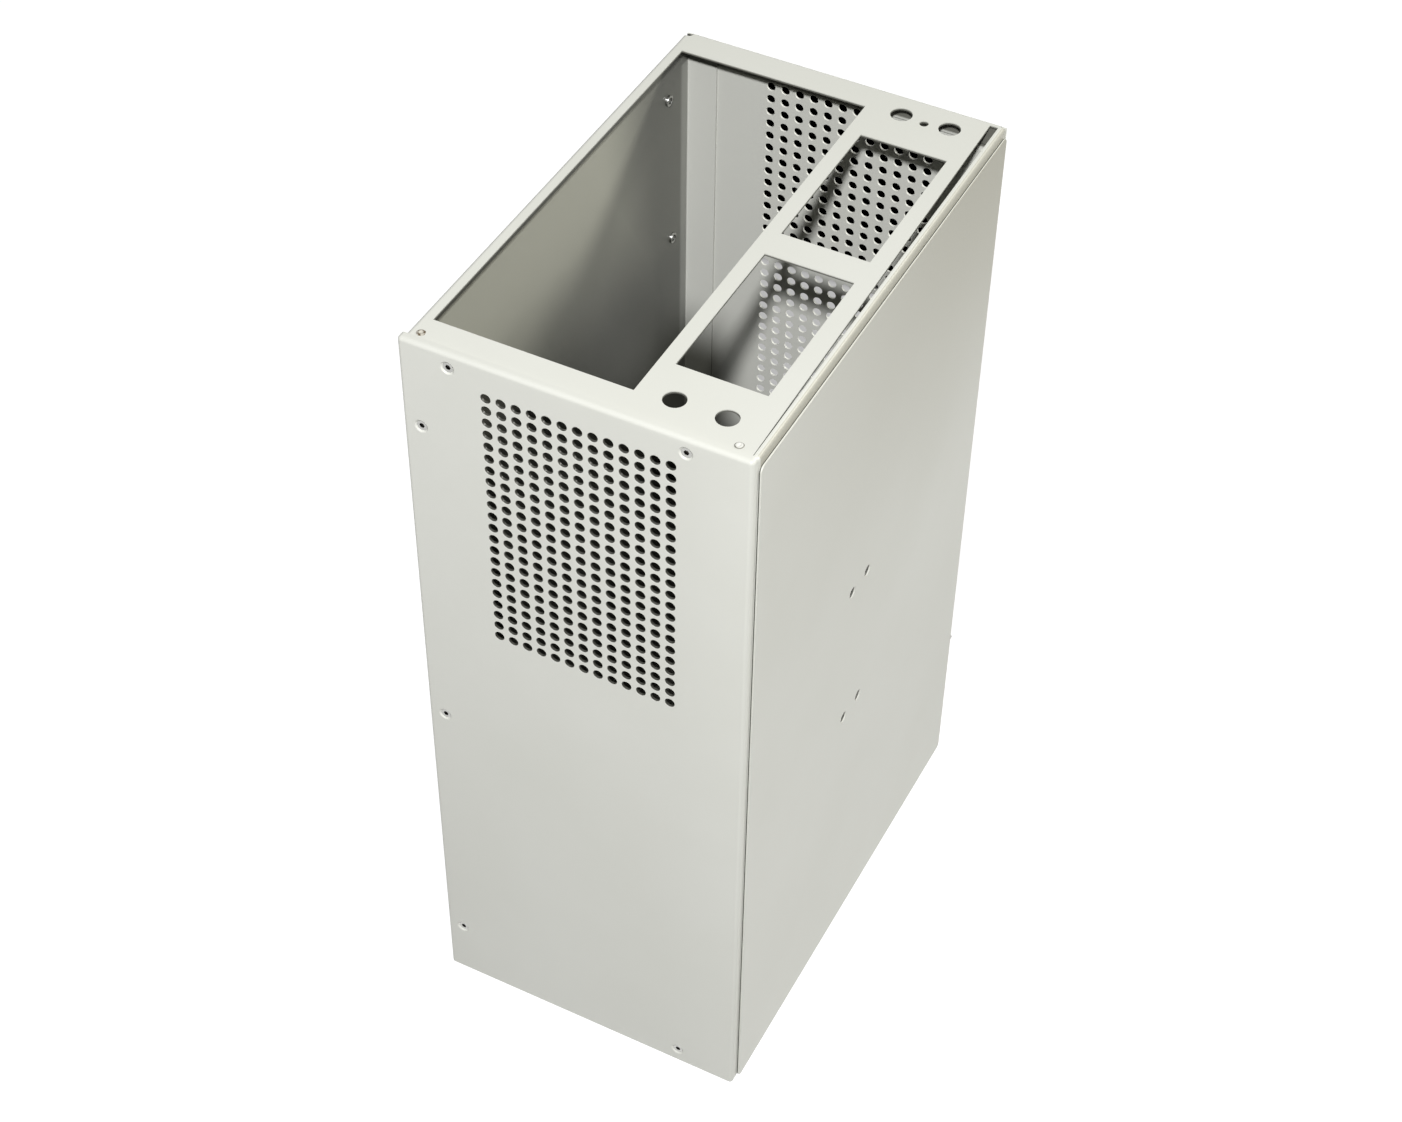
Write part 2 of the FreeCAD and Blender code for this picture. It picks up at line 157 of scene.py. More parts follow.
# satin powder coat with fine orange peel, faintly clouded outside; the other tones below are painted shade on
# the rail, the cover, the inside and in holes and gaps
powderCoat = {
    "colour": (0.625, 0.630, 0.585),
    "cloudColour": (0.605, 0.610, 0.562),
    # painted shade on the right rail's outer bend, darker where it faces sideways
    "railColour": (0.420, 0.412, 0.350),
    # painted shade over the cover's upper rear, darker towards its top and back
    "coverColour": (0.330, 0.320, 0.255),
    # painted shade on all inner faces; the rear panel's inside gets a lighter painted shade
    "insideShadeColour": (0.140, 0.140, 0.123),
    "rearShadeColour": (0.540, 0.544, 0.508),
    # painted shade on the left wall's inside: lighter and olive near the top front, dark downwards and
    # backwards
    "wallLightShadeColour": (0.500, 0.500, 0.420),
    "wallDarkShadeColour": (0.112, 0.114, 0.103),
    "wallShadeBackShare": 0.85,
    # painted shade, near black, deep inside and at the left wall's foot
    "deepShadeColour": (0.055, 0.055, 0.046),
    # painted shade, near black, in the front holes' walls, the cover's seam and the corner relief
    "gapShadeColour": (0.050, 0.050, 0.042),
    "roughness": 0.40,
    "roughnessSpread": 0.10,
    "peelSize": 0.0011,
    "peelDetail": 1.5,
    "peelDepth": 0.000016,
    "cloudSize": 0.11,
    "cloudDetail": 3.0,
    "cloudStops": [(0.35, 0.0), (0.65, 1.0)],
    "specular": 0.45,
}
# where shade is painted into the coat's colour, and the zones that limit it; along each limit's axis
# a zone starts at the first edge and is full at the second, across runs from the middle to both
# sides, and slope is the way back and the way up added together
coatZones = {
    "inside": [
        ("across", (0.0979, 0.0975)),
        ("y", (-0.1556, -0.1554)),
        ("y", (0.1564, 0.1560)),
        ("z", (0.5150, 0.5146)),
    ],
    "rear": [("y", (0.1440, 0.1480))],
    # painted shadow under the top's rear rim, left out behind the glands
    "underTopShade": [("z", (0.4965, 0.4980))],
    "highUnderTopShade": [("z", (0.5010, 0.5025))],
    "behindGlands": [("x", (0.025, 0.030)), ("x", (0.0750, 0.0740))],
    "leftWall": [("x", (-0.0965, -0.0970)), ("z", (0.5048, 0.5038))],
    # painted shade down and back along the left wall
    "wallShadeDown": [("z", (0.485, 0.350))],
    "wallShadeBack": [("y", (0.045, 0.115))],
    # painted shade at the left wall's foot, deep down and deep at the left
    "wallFootShade": [("x", (-0.0965, -0.0970)), ("slope", (0.374, 0.345))],
    "deepShade": [("z", (0.240, 0.180))],
    "deepShadeLeft": [("x", (-0.050, -0.080)), ("z", (0.330, 0.270))],
    # painted shade in the walls of the front holes
    "frontHoleShade": [
        ("across", (0.0620, 0.0600)),
        ("y", (-0.1570, -0.1568)),
        ("y", (-0.1552, -0.1554)),
        ("z", (0.318, 0.320)),
        ("z", (0.5030, 0.5010)),
    ],
    # painted shade on the rail's outer bend
    "rail": [
        ("x", (0.0981, 0.0988)),
        ("x", (0.10010, 0.10005)),
        ("y", (-0.1500, -0.1490)),
        ("y", (0.1556, 0.1554)),
        ("z", (0.4962, 0.4966)),
    ],
    # painted shade on the cover's upper rear
    "cover": [("x", (0.1010, 0.1012)), ("y", (-0.260, 0.190)), ("z", (0.240, 0.560))],
    # painted shade of the gap along the cover's edge
    "seamShade": [("x", (0.10005, 0.10010)), ("x", (0.10065, 0.10060))],
    # painted shade in the corner relief hole
    "reliefShade": [
        ("x", (-0.0985, -0.0984)),
        ("x", (-0.0930, -0.0932)),
        ("y", (0.1503, 0.1504)),
        ("y", (0.1557, 0.1556)),
        ("z", (0.5152, 0.5148)),
        ("z", (0.5020, 0.5060)),
    ],
}


# the outside tone, with painted shade on the rail's outer bend and the cover's upper rear
def outsideTone(tree, values, masks):
    cloud = objectNoise(tree, values["cloudSize"], values["cloudDetail"])
    cloudMask = tree.node("ShaderNodeValToRGB", {"stops": values["cloudStops"]}, {0: cloud})
    tone = blendColour(tree, cloudMask, values["colour"], values["cloudColour"])
    tone = blendColour(tree, masks["rail"], tone, values["railColour"])
    return blendColour(tree, masks["cover"], tone, values["coverColour"])


# painted shade inside: the inside is painted dark, the rear panel lighter below the top with a painted shadow
# under the top's rear rim, the left wall with painted shade downwards and backwards, and near black painted
# shade deep down
def insideTone(tree, values, masks):
    wallShade = larger(masks["wallShadeDown"], masks["wallShadeBack"] * values["wallShadeBackShare"])
    wall = blendColour(tree, wallShade, values["wallLightShadeColour"], values["wallDarkShadeColour"])
    underTopShade = larger((1.0 - masks["behindGlands"]) * masks["underTopShade"], masks["highUnderTopShade"])
    paleRear = masks["rear"] * (1.0 - underTopShade)
    tone = blendColour(tree, paleRear, values["insideShadeColour"], values["rearShadeColour"])
    tone = blendColour(tree, masks["leftWall"], tone, wall)
    deepShade = larger(larger(masks["deepShade"], masks["wallFootShade"]), masks["deepShadeLeft"])
    return blendColour(tree, deepShade, tone, values["deepShadeColour"])


def powderCoatMaterial(name, values, zones):
    material, tree = newMaterial(name)
    x, y, z = objectPlace(tree)
    axes = {"x": x, "y": y, "z": z, "across": absolute(tree, x), "slope": y + z}
    masks = {zone: zoneMask(tree, axes, limits) for zone, limits in zones.items()}
    peel = objectNoise(tree, values["peelSize"], values["peelDetail"])
    tones = outsideTone(tree, values, masks), insideTone(tree, values, masks)
    colour = blendColour(tree, masks["inside"], *tones)
    # painted shade in the front holes, the cover's seam and the corner relief
    for zone in ("frontHoleShade", "seamShade", "reliefShade"):
        colour = blendColour(tree, masks[zone], colour, values["gapShadeColour"])
    sockets = {
        "Base Color": colour,
        "Roughness": values["roughness"] + (peel - 0.5) * values["roughnessSpread"],
        "Normal": bumped(tree, peel, values["peelDepth"]),
        "Specular IOR Level": values["specular"],
    }
    surface(tree, sockets)
    return material


# bright zinc plate, with painted shade in the screws' sockets
zincPlate = {
    "colour": (0.56, 0.56, 0.54),
    "dullColour": (0.40, 0.40, 0.38),
    "socketShadeColour": (0.070, 0.068, 0.060),
    "socketShadeZone": [("reach", (0.1562, 0.1558)), ("reach", (0.1480, 0.1485))],
    "patchSize": 0.0022,
    "patchDetail": 3.0,
    "roughness": 0.24,
    "roughnessSpread": 0.22,
    "scratchSize": 0.0004,
    "scratchDetail": 2.0,
    "scratchDepth": 0.000008,
}


def plateMaterial(name, values):
    material, tree = newMaterial(name)
    patch = objectNoise(tree, values["patchSize"], values["patchDetail"])
    scratch = objectNoise(tree, values["scratchSize"], values["scratchDetail"])
    # the screws' sockets and what lies below the head get painted shade
    reach = absolute(tree, objectPlace(tree)[1])
    socket = zoneMask(tree, {"reach": reach}, values["socketShadeZone"])
    colour = blendColour(tree, patch, values["colour"], values["dullColour"])
    sockets = {
        "Base Color": blendColour(tree, socket, colour, values["socketShadeColour"]),
        "Roughness": values["roughness"] + (patch - 0.5) * values["roughnessSpread"],
        "Normal": bumped(tree, scratch, values["scratchDepth"]),
        "Metallic": 1.0,
    }
    surface(tree, sockets)
    return material


# rivet head: a light middle and a dark rim, painted shade at the head's foot broken by noise into crescents; on
# the left rivet also a brownish stain where the coat has run thin
leftRivet = {
    "colour": (0.52, 0.50, 0.44),
    # painted shade at the head's foot, on the left rivet with brownish stain
    "rimShadeAndStainColour": (0.080, 0.054, 0.026),
    "rim": (0.0010, 0.0016),
    "stainAndShadeSize": 0.0021,
    "stainAndShadeDetail": 2.0,
    "stainAndShade": (0.45, 0.51),
    "evenShare": 0.30,
    "roughness": 0.42,
}
rightRivet = {
    **leftRivet,
    "colour": (0.66, 0.66, 0.62),
    # painted shade of the gap round the head's foot
    "rimShadeAndStainColour": (0.09, 0.085, 0.06),
    "rim": (0.0018, 0.0022),
    "evenShare": 0.8,
}


def rivetMaterial(name, values, middle):
    material, tree = newMaterial(name)
    x, y = objectPlace(tree)[:2]
    offX = x - middle.x
    offY = y - middle.y
    radius = tree.node("ShaderNodeMath", {"operation": "SQRT"}, {0: offX * offX + offY * offY})
    stainAndShade = fade(tree, objectNoise(tree, values["stainAndShadeSize"], values["stainAndShadeDetail"]), values["stainAndShade"])
    share = values["evenShare"] + (1.0 - values["evenShare"]) * stainAndShade
    rim = fade(tree, radius, values["rim"]) * share
    colour = blendColour(tree, rim, values["colour"], values["rimShadeAndStainColour"])
    surface(tree, {"Base Color": colour, "Roughness": values["roughness"]})
    return material


coatFinish = powderCoatMaterial("powderCoat", powderCoat, coatZones)
zincFinish = plateMaterial("zincPlate", zincPlate)
print("stage 2: finishes made")


def newObject(name, data):
    thing = bpy.data.objects.new(name, data)
    scene.collection.objects.link(thing)
    return thing


def meshFrom(name, build):
    shape = bmesh.new()
    build(shape)
    mesh = bpy.data.meshes.new(name)
    shape.to_mesh(mesh)
    shape.free()
    return mesh


def shadeByAngle(mesh, degrees):
    mesh.polygons.foreach_set("use_smooth", [True] * len(mesh.polygons))
    mesh.set_sharp_from_angle(angle=math.radians(degrees))


# rings of points about the local Z axis, joined into a turned surface that is left open,
# closed at both ends, or closed through a bore
def turned(shape, rings, sides, ends="open"):
    loops = []
    for radiusAt, height in rings:
        loop = []
        for step in range(sides):
            angle = math.tau * step / sides
            radius = radiusAt(angle) if callable(radiusAt) else radiusAt
            loop.append(shape.verts.new((radius * math.cos(angle), radius * math.sin(angle), height)))
        loops.append(loop)
    following = loops[1:] + loops[:1] if ends == "bored" else loops[1:]
    for low, high in zip(loops, following):
        for step in range(sides):
            after = (step + 1) % sides
            shape.faces.new((low[step], low[after], high[after], high[step]))
    if ends == "closed":
        shape.faces.new(list(reversed(loops[0])))
        shape.faces.new(loops[-1])


def hexagonRadius(acrossFlats):
    return lambda angle: acrossFlats / 2 / math.cos(angle % (math.pi / 3) - math.pi / 6)


# a shape that the geometry trees place, itself kept out of the scene
def stampObject(name, build):
    return bpy.data.objects.new(name, meshFrom(name, build))


# punched sheets; a pattern's first hole is placed from the part's middle and its top
punched = {
    "thickness": 0.0015,
    "holeDiameter": 0.0056,
    "holeEdge": 0.00028,
    "holeSides": 24,
    "sinkOuter": 0.0041,
    "sinkInner": 0.0024,
}
frontGrid = {
    "columns": 13,
    "rows": 22,
    "columnPitch": 0.008725,
    "rowPitch": 0.008176,
    "firstX": -0.0492,
    "firstDrop": 0.0208,
}
rearGrid = {
    "columns": 12,
    "rows": 28,
    "columnPitch": 0.00905,
    "rowPitch": 0.00848,
    "firstX": -0.0438,
    "firstDrop": 0.0229,
}
frontTray = {"bendRadius": 0.0025, "lowCorner": 0.0018, "bendSteps": 8, "cornerSteps": 6}

# distances within which points count as one, and the length below which an edge goes
joining = {"cad": 0.00001, "stamped": 0.000004, "panel": 0.000008, "sliver": 0.000002}

trayLow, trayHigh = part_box("front_panel")
rearLow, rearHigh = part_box("rear_panel")
topZ = trayHigh.z


def holeLiner(shape):
    radius = punched["holeDiameter"] / 2
    edge = punched["holeEdge"]
    rings = [(radius, -punched["thickness"]), (radius, -edge), (radius + edge, 0.0)]
    turned(shape, rings, punched["holeSides"])


def countersink(shape):
    rings = [(punched["sinkInner"], -punched["thickness"]), (punched["sinkOuter"], 0.0)]
    turned(shape, rings, punched["holeSides"])


def geometryTree(name, inputs):
    group = bpy.data.node_groups.new(name, "GeometryNodeTree")
    for label, kind in inputs:
        group.interface.new_socket(name=label, in_out="INPUT", socket_type=kind)
    group.interface.new_socket(name="Geometry", in_out="OUTPUT", socket_type="NodeSocketGeometry")
    tree = Tree(group)
    source = group.nodes.new("NodeGroupInput")
    wires = {label: Wire(tree, source.outputs[label]) for label, kind in inputs}
    return tree, wires


def finishTree(tree, geometry, finish):
    real = tree.node("GeometryNodeRealizeInstances", {}, {"Geometry": geometry})
    welded = tree.node("GeometryNodeMergeByDistance", {}, {"Geometry": real, "Distance": joining["stamped"]})
    coated = tree.node("GeometryNodeSetMaterial", {}, {"Geometry": welded, "Material": finish})
    tree.node("NodeGroupOutput", {}, {"Geometry": coated})
    return tree.tree


def punchedSheetTree():
    inputs = [("Screw Points", "NodeSocketGeometry")]
    lengths = ["Plate Width", "Plate Height", "Plate X", "Plate Y", "Hole Radius", "Hole Edge", "Thickness"]
    lengths += ["Column Pitch", "Row Pitch", "Pattern X", "Pattern Y", "Sink Outer", "Sink Inner"]
    inputs += [(label, "NodeSocketFloat") for label in lengths]
    inputs += [("Columns", "NodeSocketInt"), ("Rows", "NodeSocketInt"), ("Sides", "NodeSocketInt")]
    inputs += [("Hole Liner", "NodeSocketObject"), ("Countersink", "NodeSocketObject")]
    inputs += [("Finish", "NodeSocketMaterial")]
    tree, value = geometryTree("punchedSheet", inputs)

    def along(x, y, z=0.0):
        return tree.node("ShaderNodeCombineXYZ", {}, {"X": x, "Y": y, "Z": z})

    def moved(geometry, offset):
        return tree.node("GeometryNodeTransform", {}, {"Geometry": geometry, "Translation": offset})

    def placed(points, stamp):
        return tree.node("GeometryNodeInstanceOnPoints", {}, {"Points": points, "Instance": stamp})

    def circle(radius):
        sockets = {"Resolution": value["Sides"], "Radius": radius}
        return tree.node("GeometryNodeCurvePrimitiveCircle", {"mode": "RADIUS"}, sockets)

    outline = tree.node(
        "GeometryNodeCurvePrimitiveQuadrilateral",
        {"mode": "RECTANGLE"},
        {"Width": value["Plate Width"], "Height": value["Plate Height"]},
    )
    outline = moved(outline, along(value["Plate X"], value["Plate Y"]))
    grid = tree.node(
        "GeometryNodeMeshGrid",
        {},
        {
            "Size X": (value["Columns"] - 1) * value["Column Pitch"],
            "Size Y": (value["Rows"] - 1) * value["Row Pitch"],
            "Vertices X": value["Columns"],
            "Vertices Y": value["Rows"],
        },
    )
    grid = moved(grid, along(value["Pattern X"], value["Pattern Y"]))

    def skin(holeRadius, sinkRadius):
        holes = placed(grid, circle(holeRadius))
        sinks = placed(value["Screw Points"], circle(sinkRadius))
        curves = tree.node("GeometryNodeJoinGeometry", {}, {"Geometry": [outline, holes, sinks]})
        curves = tree.node("GeometryNodeRealizeInstances", {}, {"Geometry": curves})
        return tree.node("GeometryNodeFillCurve", {"mode": "TRIANGLES"}, {0: curves})

    outer = skin(value["Hole Radius"] + value["Hole Edge"], value["Sink Outer"])
    inner = skin(value["Hole Radius"], value["Sink Inner"])
    inner = moved(inner, along(0.0, 0.0, 0.0 - value["Thickness"]))
    inner = tree.node("GeometryNodeFlipFaces", {}, {0: inner})
    liner = tree.node("GeometryNodeObjectInfo", {}, {"Object": value["Hole Liner"]}, output="Geometry")
    sink = tree.node("GeometryNodeObjectInfo", {}, {"Object": value["Countersink"]}, output="Geometry")
    parts = [outer, inner, placed(grid, liner), placed(value["Screw Points"], sink)]
    everything = tree.node("GeometryNodeJoinGeometry", {}, {"Geometry": parts})
    return finishTree(tree, everything, value["Finish"])


def stampedTree():
    inputs = [("Places", "NodeSocketGeometry"), ("Piece", "NodeSocketObject"), ("Finish", "NodeSocketMaterial")]
    tree, value = geometryTree("stampedPieces", inputs)
    piece = tree.node("GeometryNodeObjectInfo", {}, {"Object": value["Piece"]}, output="Geometry")
    placed = tree.node("GeometryNodeInstanceOnPoints", {}, {"Points": value["Places"], "Instance": piece})
    return finishTree(tree, placed, value["Finish"])


# runs a geometry tree on a set of points and returns the plain mesh
def meshFromTree(name, group, points, inputs):
    seed = bpy.data.meshes.new(name + "Points")
    seed.from_pydata(points, [], [])
    holder = newObject(name + "Holder", seed)
    modifier = holder.modifiers.new("tree", "NODES")
    modifier.node_group = group
    sockets = {item.name: item.identifier for item in group.interface.items_tree if item.in_out == "INPUT"}
    for label, wanted in inputs.items():
        modifier[sockets[label]] = wanted
    bpy.context.view_layer.update()
    evaluated = holder.evaluated_get(bpy.context.evaluated_depsgraph_get())
    mesh = bpy.data.meshes.new_from_object(evaluated)
    bpy.data.objects.remove(holder)
    mesh.name = name
    return mesh


def standing(place, turn):
    return Matrix.Translation(place) @ Euler(turn).to_matrix().to_4x4()


# local sheets lie in XY with +Z outwards; these stand them up at the front and the rear,
# where the sign says which way the part's X runs on the sheet
frontFace = {"stand": standing((0, trayLow.y, 0), (math.pi / 2, 0, 0)), "sign": 1.0}
rearFace = {"stand": standing((0, rearHigh.y, 0), (math.pi / 2, 0, math.pi)), "sign": -1.0}


# the middles of a node's separate solids, as one point each
def solidCentres(node):
    shape = bmesh.new()
    shape.from_mesh(cadNodes[node].data)
    bmesh.ops.remove_doubles(shape, verts=shape.verts, dist=joining["cad"])
    waiting = set(shape.verts)
    centres = []
    while waiting:
        reached = [waiting.pop()]
        places = []
        while reached:
            vert = reached.pop()
            places.append(vert.co.copy())
            for link in vert.link_edges:
                other = link.other_vert(vert)
                if other in waiting:
                    waiting.remove(other)
                    reached.append(other)
        low = Vector(min(place[axis] for place in places) for axis in range(3))
        high = Vector(max(place[axis] for place in places) for axis in range(3))
        centres.append((low + high) / 2)
    shape.free()
    return centres


def pointsOnFace(node, face):
    return [(face["sign"] * place.x, place.z, 0.0) for place in solidCentres(node)]


def sheetMesh(name, screwNode, grid, plate, face):
    sign = face["sign"]
    (lowX, lowZ), (highX, highZ) = plate
    middleX = grid["firstX"] + (grid["columns"] - 1) * grid["columnPitch"] / 2
    middleZ = topZ - grid["firstDrop"] - (grid["rows"] - 1) * grid["rowPitch"] / 2
    inputs = {
        "Plate Width": highX - lowX,
        "Plate Height": highZ - lowZ,
        "Plate X": sign * (highX + lowX) / 2,
        "Plate Y": (highZ + lowZ) / 2,
        "Hole Radius": punched["holeDiameter"] / 2,
        "Hole Edge": punched["holeEdge"],
        "Column Pitch": grid["columnPitch"],
        "Row Pitch": grid["rowPitch"],
        "Pattern X": sign * middleX,
        "Pattern Y": middleZ,
        "Sink Outer": punched["sinkOuter"],
        "Sink Inner": punched["sinkInner"],
        "Thickness": punched["thickness"],
        "Columns": grid["columns"],
        "Rows": grid["rows"],
        "Sides": punched["holeSides"],
        "Hole Liner": linerStamp,
        "Countersink": sinkStamp,
        "Finish": coatFinish,
    }
    mesh = meshFromTree(name, punchedSheet, pointsOnFace(screwNode, face), inputs)
    mesh.transform(face["stand"])
    return mesh


def quarterTurn(steps):
    return [math.pi / 2 * step / steps for step in range(steps + 1)]


# the tray's bend and return, from the flat's edge outwards, as (outward, back)
def trayProfile():
    radius = frontTray["bendRadius"]
    small = radius - punched["thickness"]
    back = trayHigh.y - trayLow.y
    angles = quarterTurn(frontTray["bendSteps"])
    outer = [(radius * math.sin(angle), radius - radius * math.cos(angle)) for angle in angles]
    inner = [(small * math.sin(angle), radius - small * math.cos(angle)) for angle in reversed(angles)]
    return outer + [(radius, back), (small, back)] + inner


# the bend and return up one side, round the two top corners and down the other side, with
# the outer corner of each foot rounded off
def trayBands(shape, plate):
    (lowX, lowZ), (highX, highZ) = plate
    profile = trayProfile()
    corner = frontTray["lowCorner"]
    straight = frontTray["bendRadius"] - corner

    def footRise(out):
        past = max(0.0, out - straight)
        return corner - math.sqrt(max(0.0, corner**2 - past**2))

    def foot(x, sideways):
        places = [(x + sideways * out, trayLow.y + back, lowZ + footRise(out)) for out, back in profile]
        return [shape.verts.new(place) for place in places]

    def station(x, sideways, upwards):
        places = [(x + sideways * out, trayLow.y + back, highZ + upwards * out) for out, back in profile]
        return [shape.verts.new(place) for place in places]

    turns = quarterTurn(frontTray["cornerSteps"])
    loops = [foot(lowX, -1)]
    loops += [station(lowX, -math.cos(turn), math.sin(turn)) for turn in turns]
    loops += [station(highX, math.sin(turn), math.cos(turn)) for turn in turns]
    loops.append(foot(highX, 1))
    for start, end in zip(loops, loops[1:]):
        for index in range(len(profile) - 1):
            shape.faces.new((start[index], start[index + 1], end[index + 1], end[index]))
    first, last = loops[0], loops[-1]
    shape.faces.new(first)
    shape.faces.new(list(reversed(last)))
    shape.faces.new((first[0], first[-1], last[-1], last[0]))


def plainEdges(shape, plate):
    (lowX, lowZ), (highX, highZ) = plate
    corners = [(lowX, lowZ), (highX, lowZ), (highX, highZ), (lowX, highZ)]
    outer = [shape.verts.new((x, rearHigh.y, z)) for x, z in corners]
    inner = [shape.verts.new((x, rearLow.y, z)) for x, z in corners]
    for index in range(len(corners)):
        after = (index + 1) % len(corners)
        shape.faces.new((outer[index], outer[after], inner[after], inner[index]))


def weld(shape):
    bmesh.ops.remove_doubles(shape, verts=shape.verts, dist=joining["panel"])
    bmesh.ops.dissolve_degenerate(shape, edges=shape.edges, dist=joining["sliver"])
    bmesh.ops.recalc_face_normals(shape, faces=shape.faces)
    loose = [edge for edge in shape.edges if len(edge.link_faces) != 2]
    print("   open or doubled edges:", len(loose))


linerStamp = stampObject("holeLiner", holeLiner)
sinkStamp = stampObject("countersinkWall", countersink)
punchedSheet = punchedSheetTree()
stampedPieces = stampedTree()


def finishedPiece(name, mesh, finish, node, smoothAngle=32.0):
    shadeByAngle(mesh, smoothAngle)
    mesh.materials.clear()
    mesh.materials.append(finish)
    piece = newObject(name, mesh)
    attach(piece, "root")
    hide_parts(node)


def panelPiece(name, node, screwNode, grid, plate, face, addEdges):
    mesh = sheetMesh(name + "Sheet", screwNode, grid, plate, face)

    def build(shape):
        shape.from_mesh(mesh)
        addEdges(shape, plate)
        weld(shape)

    finishedPiece(name, meshFrom(name, build), coatFinish, node)


trayBend = frontTray["bendRadius"]
frontFlat = ((trayLow.x + trayBend, trayLow.z), (trayHigh.x - trayBend, trayHigh.z - trayBend))
rearFlat = ((rearLow.x, rearLow.z), (rearHigh.x, rearHigh.z))
panelPiece("frontPanel", "front_panel", "front_screws", frontGrid, frontFlat, frontFace, trayBands)
panelPiece("rearPanel", "rear_panel", "rear_screws", rearGrid, rearFlat, rearFace, plainEdges)
print("stage 3: punched panels made")


# countersunk screws with a hexagon socket, sunk a little below the panel's face
screw = {
    "sunk": 0.00070,
    "headRadius": 0.0032,
    "headEdge": 0.00025,
    "headDepth": 0.0020,
    "shankRadius": 0.002,
    "tipRadius": 0.0016,
    "tipHeight": 0.0005,
    "length": 0.008,
    "socketFlats": 0.0028,
    "socketDepth": 0.0014,
    "socketEdge": 0.00015,
    "socketEdgeDepth": 0.0001,
    "socketPointRadius": 0.0004,
    "socketPointDepth": 0.0003,
    "sides": 24,
}


def screwShape(shape):
    top = -screw["sunk"]
    floor = top - screw["socketDepth"]
    socket = hexagonRadius(screw["socketFlats"])
    rings = [
        (screw["tipRadius"], -screw["length"]),
        (screw["shankRadius"], -screw["length"] + screw["tipHeight"]),
        (screw["shankRadius"], -screw["headDepth"]),
        (screw["headRadius"], top - screw["headEdge"]),
        (screw["headRadius"] - screw["headEdge"] / 2, top),
        (lambda angle: socket(angle) + screw["socketEdge"], top),
        (socket, top - screw["socketEdgeDepth"]),
        (socket, floor),
        (screw["socketPointRadius"], floor - screw["socketPointDepth"]),
    ]
    turned(shape, rings, screw["sides"], ends="closed")


def screwPieces(name, node, face):
    stamp = stampObject(name + "Stamp", screwShape)
    inputs = {"Piece": stamp, "Finish": zincFinish}
    mesh = meshFromTree(name, stampedPieces, pointsOnFace(node, face), inputs)
    mesh.transform(face["stand"])
    finishedPiece(name, mesh, zincFinish, node)


screwPieces("frontScrews", "front_screws", frontFace)
screwPieces("rearScrews", "rear_screws", rearFace)


# low rivet heads in the top's front corners, with the dimple of the pulled stem
rivet = {
    "headRadius": 0.0025,
    "headHeight": 0.0006,
    "headFoot": 0.0002,
    "headFootHeight": 0.00015,
    "crownRadius": 0.0012,
    "crownSteps": 5,
    "shankRadius": 0.0015,
    "dimpleRadius": 0.0009,
    "dimpleFloorRadius": 0.00081,
    "dimpleDepth": 0.0005,
    "dimpleEdge": 0.0002,
    "dimpleEdgeDepth": 0.0001,
    "smoothAngle": 40.0,
    "sides": 28,
}


def rivetShape(shape, base, foot):
    radius, top = rivet["headRadius"], base + rivet["headHeight"]
    rings = [
        (rivet["shankRadius"], foot),
        (rivet["shankRadius"], base),
        (radius - rivet["headFoot"], base),
        (radius, base + rivet["headFootHeight"]),
    ]
    for angle in quarterTurn(rivet["crownSteps"])[1:-1]:
        inwards = (radius - rivet["crownRadius"]) * (1 - math.cos(angle))
        rings.append((radius - inwards, base + rivet["headHeight"] * math.sin(angle)))
    rings += [
        (rivet["dimpleRadius"] + rivet["dimpleEdge"], top),
        (rivet["dimpleRadius"], top - rivet["dimpleEdgeDepth"]),
        (rivet["dimpleFloorRadius"], top - rivet["dimpleDepth"]),
    ]
    turned(shape, rings, rivet["sides"], ends="closed")


def rivetPiece(name, node, values):
    low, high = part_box(node)
    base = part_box("wrapper")[1].z
    middle = Vector(((low.x + high.x) / 2, (low.y + high.y) / 2, 0))
    mesh = meshFrom(name, lambda shape: rivetShape(shape, base, low.z))
    mesh.transform(Matrix.Translation(middle))
    finish = rivetMaterial(name + "Finish", values, middle)
    finishedPiece(name, mesh, finish, node, rivet["smoothAngle"])


rivetPiece("leftCornerRivet", "left_corner_rivet", leftRivet)
rivetPiece("rightCornerRivet", "right_corner_rivet", rightRivet)


# round clinch nuts on the inside of the left wall, local +Z into the housing
clinch = {
    "radius": 0.0035,
    "height": 0.0016,
    "boreRadius": 0.002,
    "boreEdge": 0.0003,
    "shoulder": 0.0005,
    "shoulderBend": 0.00015,
    "sides": 32,
}


def clinchShape(shape):
    radius, height, bore = clinch["radius"], clinch["height"], clinch["boreRadius"]
    shoulder, bend = clinch["shoulder"], clinch["shoulderBend"]
    rings = [(bore, 0.0), (radius, 0.0), (radius, height - shoulder)]
    rings += [(radius - bend, height - bend), (radius - shoulder, height)]
    rings += [(bore + clinch["boreEdge"], height), (bore, height - clinch["boreEdge"])]
    turned(shape, rings, clinch["sides"], ends="bored")


def clinchPieces():
    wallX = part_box("clinch_nuts")[0].x
    stamp = stampObject("clinchStamp", clinchShape)
    points = [(-place.z, place.y, 0.0) for place in solidCentres("clinch_nuts")]
    mesh = meshFromTree("clinchNuts", stampedPieces, points, {"Piece": stamp, "Finish": zincFinish})
    mesh.transform(standing((wallX, 0, 0), (0, math.pi / 2, 0)))
    finishedPiece("clinchNuts", mesh, zincFinish, "clinch_nuts")


clinchPieces()


